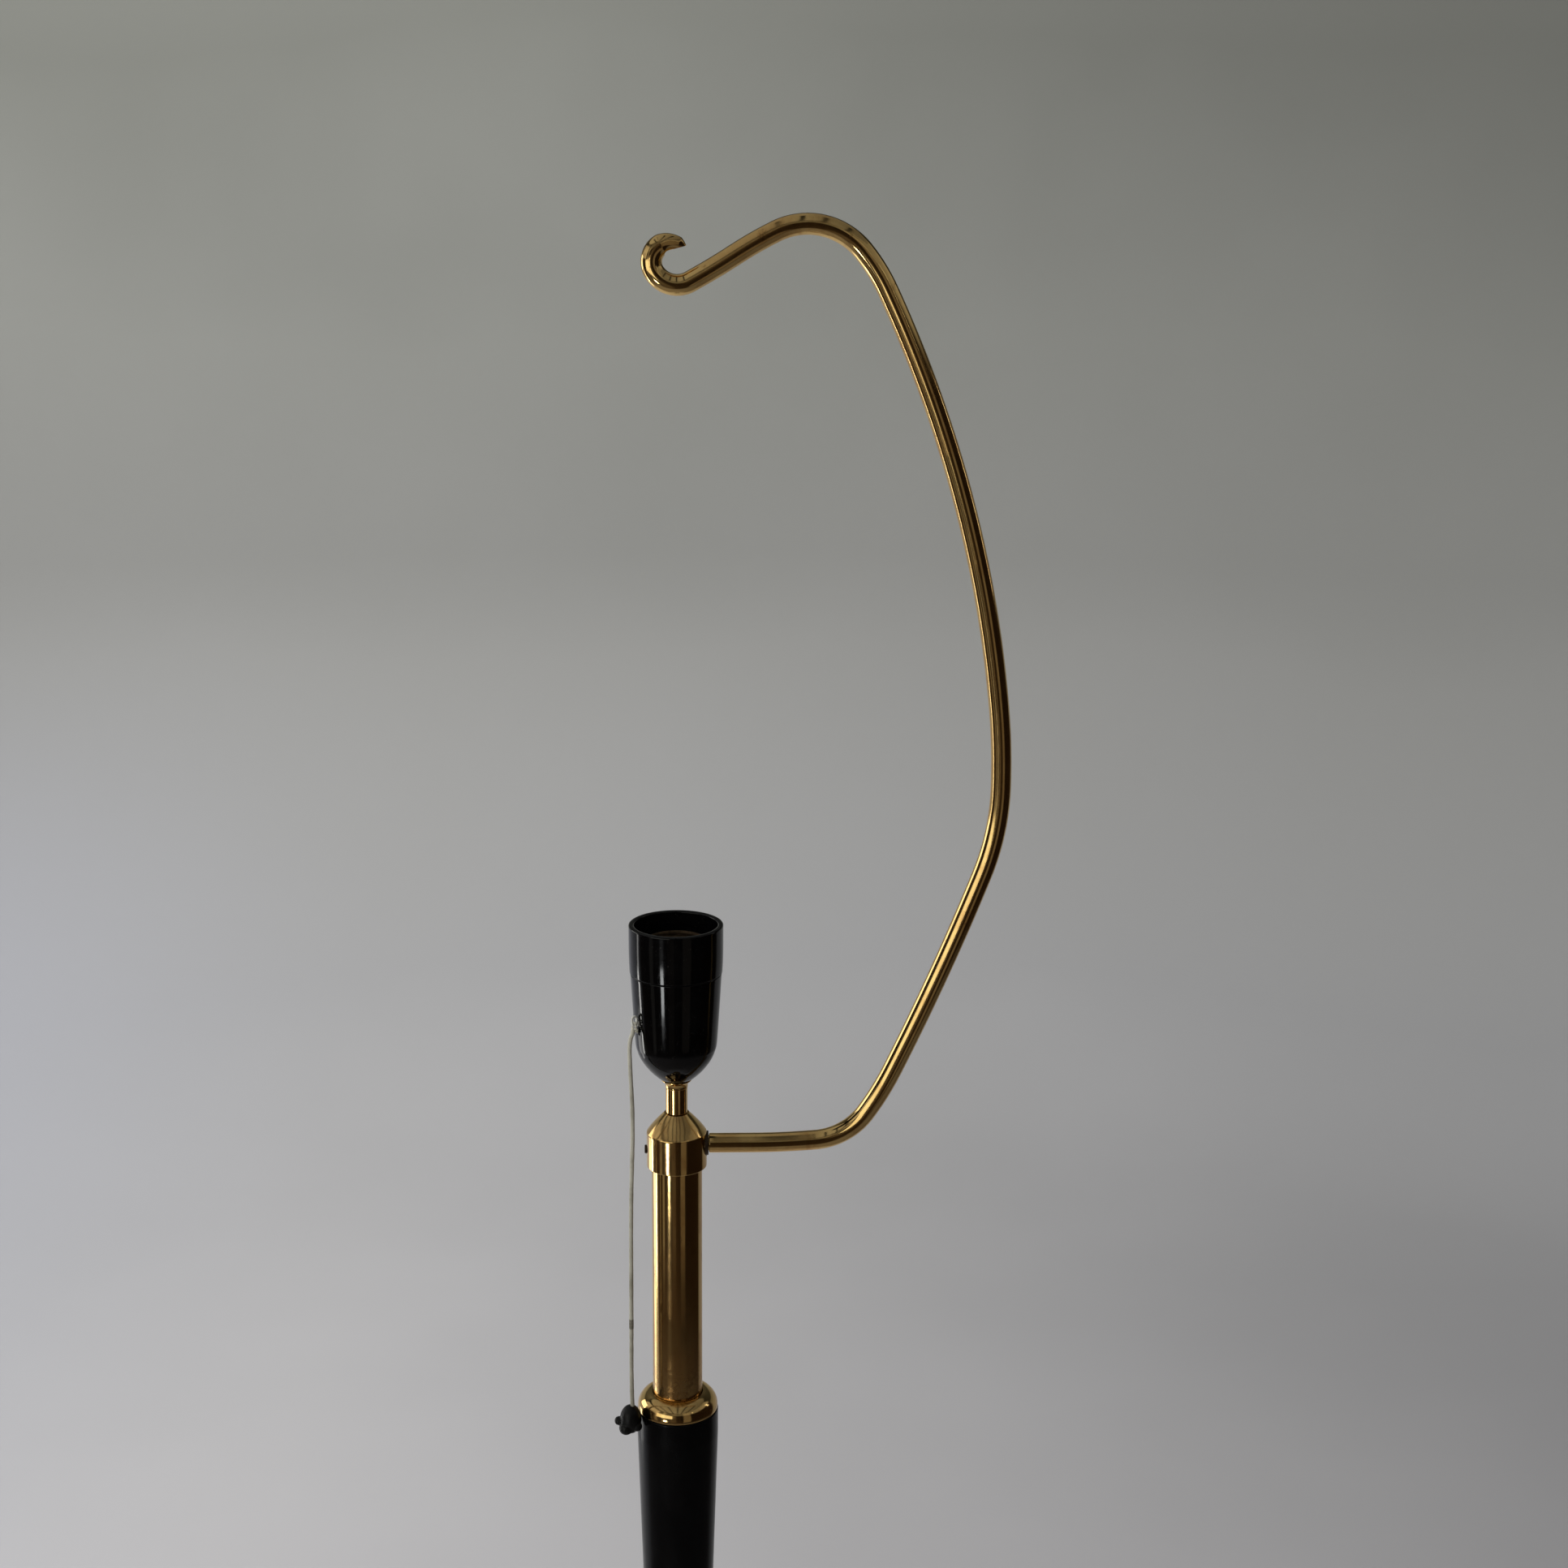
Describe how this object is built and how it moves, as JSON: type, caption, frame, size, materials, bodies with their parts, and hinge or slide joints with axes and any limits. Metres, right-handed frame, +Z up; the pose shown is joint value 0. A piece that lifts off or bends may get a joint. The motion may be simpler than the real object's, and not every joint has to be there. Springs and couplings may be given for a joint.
{
  "type": "floor_lamp",
  "caption": "Brass floor lamp with a black tapered stem, a black pull-cord lampholder and a bent brass arm with a hook for a hanging shade",
  "frame": {"origin": "Middle of the base's underside, on the floor under the column's axis.", "axes": "+Z is up along the column, +X points from the column to the root of the shade arm, +Y is to the rear, where the cord inlet is."},
  "size_m": [0.289, 0.2517, 1.5512],
  "materials": {
    "polished_brass": "polished",
    "black_bakelite": "glossy",
    "black_lacquered_wood": "satin black lacquer",
    "cast_iron": "as cast",
    "zinc_steel": "zinc plated",
    "blackened_steel": "blackened",
    "porcelain": "glazed",
    "green_felt": "felt",
    "braided_cord": "braided"
  },
  "bodies": {
    "base": {"base_felt": "green_felt", "base_weight": "cast_iron", "base_washer": "zinc_steel", "base_nut": "zinc_steel", "base_cover": "polished_brass", "inlet_bush": "black_bakelite", "base_foot": "polished_brass", "tie_rod": "zinc_steel", "lower_tube": "polished_brass", "stem_ferrule": "polished_brass", "black_stem": "black_lacquered_wood", "stem_ring": "polished_brass", "upper_tube": "polished_brass", "tube_bush": "polished_brass", "tie_rod_nut": "zinc_steel", "head_spigot": "polished_brass"},
    "head": {"head_collar": "polished_brass", "collar_set_screw": "blackened_steel", "arm_lock_nut": "blackened_steel", "shade_arm": "polished_brass", "threaded_nipple": "zinc_steel", "spacer_tube": "polished_brass", "flared_cup": "polished_brass", "holder_nut": "zinc_steel", "holder_body": "black_bakelite", "holder_skirt": "black_bakelite", "holder_core": "porcelain", "screw_shell": "polished_brass", "centre_contact": "polished_brass", "side_contact": "polished_brass", "terminal_left": "polished_brass", "terminal_right": "polished_brass", "terminal_screw_left": "zinc_steel", "terminal_screw_right": "zinc_steel", "lever_pin": "zinc_steel", "switch_spring": "zinc_steel"},
    "lever": {"switch_lever": "zinc_steel"},
    "rotor": {"switch_rotor": "black_bakelite"},
    "link": {"cord_knot": "braided_cord"},
    "pull": {"pull_cord": "braided_cord", "pull_knob": "black_bakelite"}
  },
  "joints": [
    {"name": "head_swivel", "type": "hinge", "parent": "base", "child": "head", "pos_m": [0, 0, 1.082], "axis": [0, 0, 1], "range_deg": [-170, 170]},
    {"name": "lever_pull", "type": "hinge", "parent": "head", "child": "lever", "pos_m": [-0.00693, -0.004, 1.156], "axis": [0.5, -0.866, 0], "range_deg": [0, 18], "stiffness_Nm_per_rad": 0.05, "springref_deg": -17.19},
    {"name": "rotor_index", "type": "hinge", "parent": "head", "child": "rotor", "pos_m": [-0.00693, -0.004, 1.156], "axis": [0.5, -0.866, 0], "continuous": true},
    {"name": "knot_level", "type": "hinge", "parent": "lever", "child": "link", "pos_m": [-0.02079, -0.012, 1.1604], "axis": [0.5, -0.866, 0], "range_deg": [-18, 0]},
    {"name": "cord_swing", "type": "hinge", "parent": "link", "child": "pull", "pos_m": [-0.02018, -0.01165, 1.1582], "axis": [-0.866, -0.5, 0], "range_deg": [-25, 25]}
  ],
  "couplings": [
    {"joint": "knot_level", "follows": "lever_pull", "ratio": -1}
  ]
}
